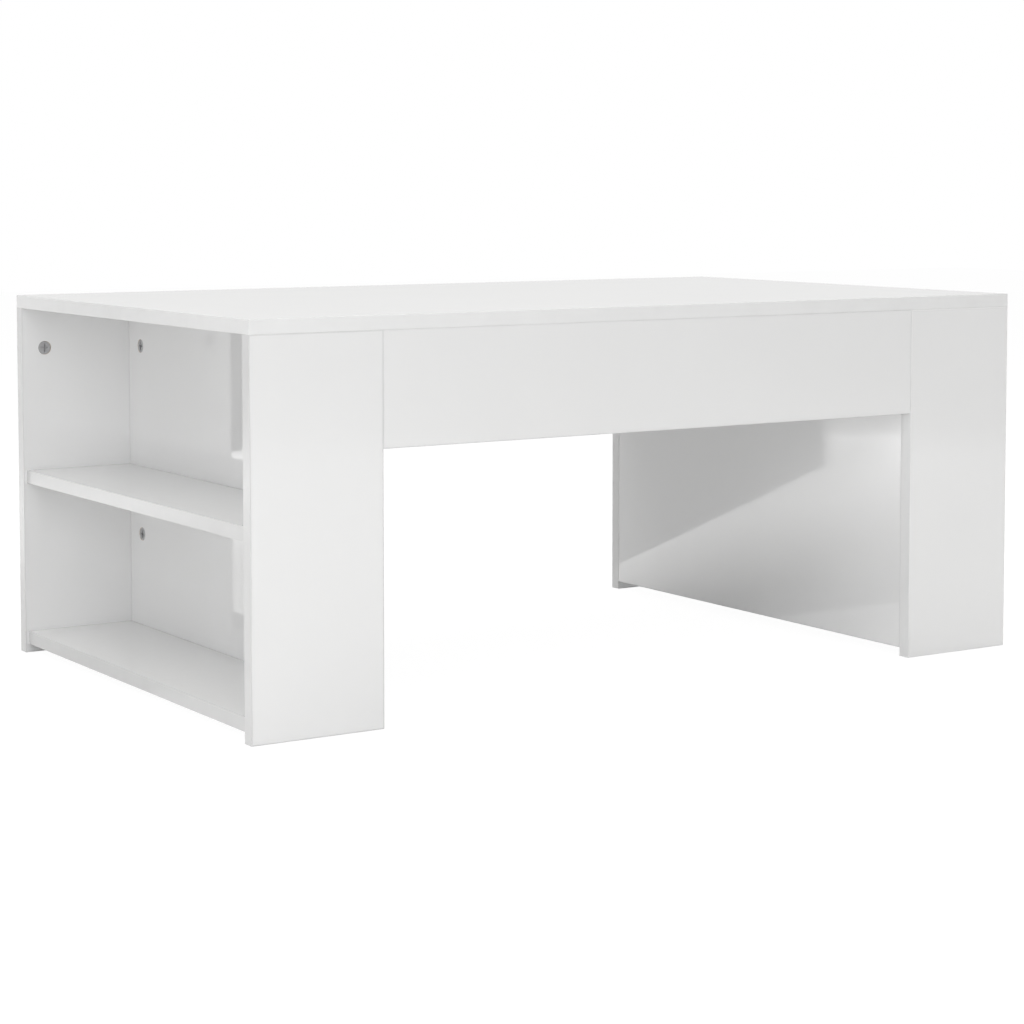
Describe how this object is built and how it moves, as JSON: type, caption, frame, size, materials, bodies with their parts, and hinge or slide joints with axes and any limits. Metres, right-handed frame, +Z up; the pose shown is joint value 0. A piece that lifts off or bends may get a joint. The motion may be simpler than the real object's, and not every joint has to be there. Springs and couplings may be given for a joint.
{
  "type": "coffee table",
  "caption": "Low rectangular coffee table of glossy white boards, with legs flush to its long sides and shelved bays open to the ends.",
  "frame": {"origin": "on the floor, at the centre of the table's footprint", "axes": "+X along the length, +Y from the front long side to the back one, +Z up"},
  "size_m": [1, 0.6, 0.42],
  "materials": {
    "white_board": "gloss",
    "zinc_cam": "satin",
    "steel_bolt": "satin",
    "beech_dowel": "matte"
  },
  "bodies": {
    "root": {"apron_back": "white_board", "apron_front": "white_board", "bolt_apron_back_left": "steel_bolt", "bolt_apron_back_right": "steel_bolt", "bolt_apron_front_left": "steel_bolt", "bolt_apron_front_right": "steel_bolt", "bolt_lower_back_left": "steel_bolt", "bolt_lower_back_right": "steel_bolt", "bolt_lower_front_left": "steel_bolt", "bolt_lower_front_right": "steel_bolt", "bolt_top_back_left": "steel_bolt", "bolt_top_back_right": "steel_bolt", "bolt_top_front_left": "steel_bolt", "bolt_top_front_right": "steel_bolt", "bolt_upper_back_left": "steel_bolt", "bolt_upper_back_right": "steel_bolt", "bolt_upper_front_left": "steel_bolt", "bolt_upper_front_right": "steel_bolt", "cam_apron_back_left": "zinc_cam", "cam_apron_back_right": "zinc_cam", "cam_apron_front_left": "zinc_cam", "cam_apron_front_right": "zinc_cam", "cam_lower_back_left": "zinc_cam", "cam_lower_back_right": "zinc_cam", "cam_lower_front_left": "zinc_cam", "cam_lower_front_right": "zinc_cam", "cam_top_back_left": "zinc_cam", "cam_top_back_right": "zinc_cam", "cam_top_front_left": "zinc_cam", "cam_top_front_right": "zinc_cam", "cam_upper_back_left": "zinc_cam", "cam_upper_back_right": "zinc_cam", "cam_upper_front_left": "zinc_cam", "cam_upper_front_right": "zinc_cam", "dowel_apron_back": "beech_dowel", "dowel_apron_front": "beech_dowel", "dowel_bottom_back_left": "beech_dowel", "dowel_bottom_back_right": "beech_dowel", "dowel_bottom_front_left": "beech_dowel", "dowel_bottom_front_right": "beech_dowel", "dowel_bottom_inner_left": "beech_dowel", "dowel_bottom_inner_right": "beech_dowel", "dowel_middle_back_left": "beech_dowel", "dowel_middle_back_right": "beech_dowel", "dowel_middle_front_left": "beech_dowel", "dowel_middle_front_right": "beech_dowel", "dowel_middle_inner_left": "beech_dowel", "dowel_middle_inner_right": "beech_dowel", "leg_back_left": "white_board", "leg_back_right": "white_board", "leg_front_left": "white_board", "leg_front_right": "white_board", "partition_left": "white_board", "partition_right": "white_board", "shelf_bottom_left": "white_board", "shelf_bottom_right": "white_board", "shelf_middle_left": "white_board", "shelf_middle_right": "white_board", "top_panel": "white_board"}
  },
  "joints": []
}
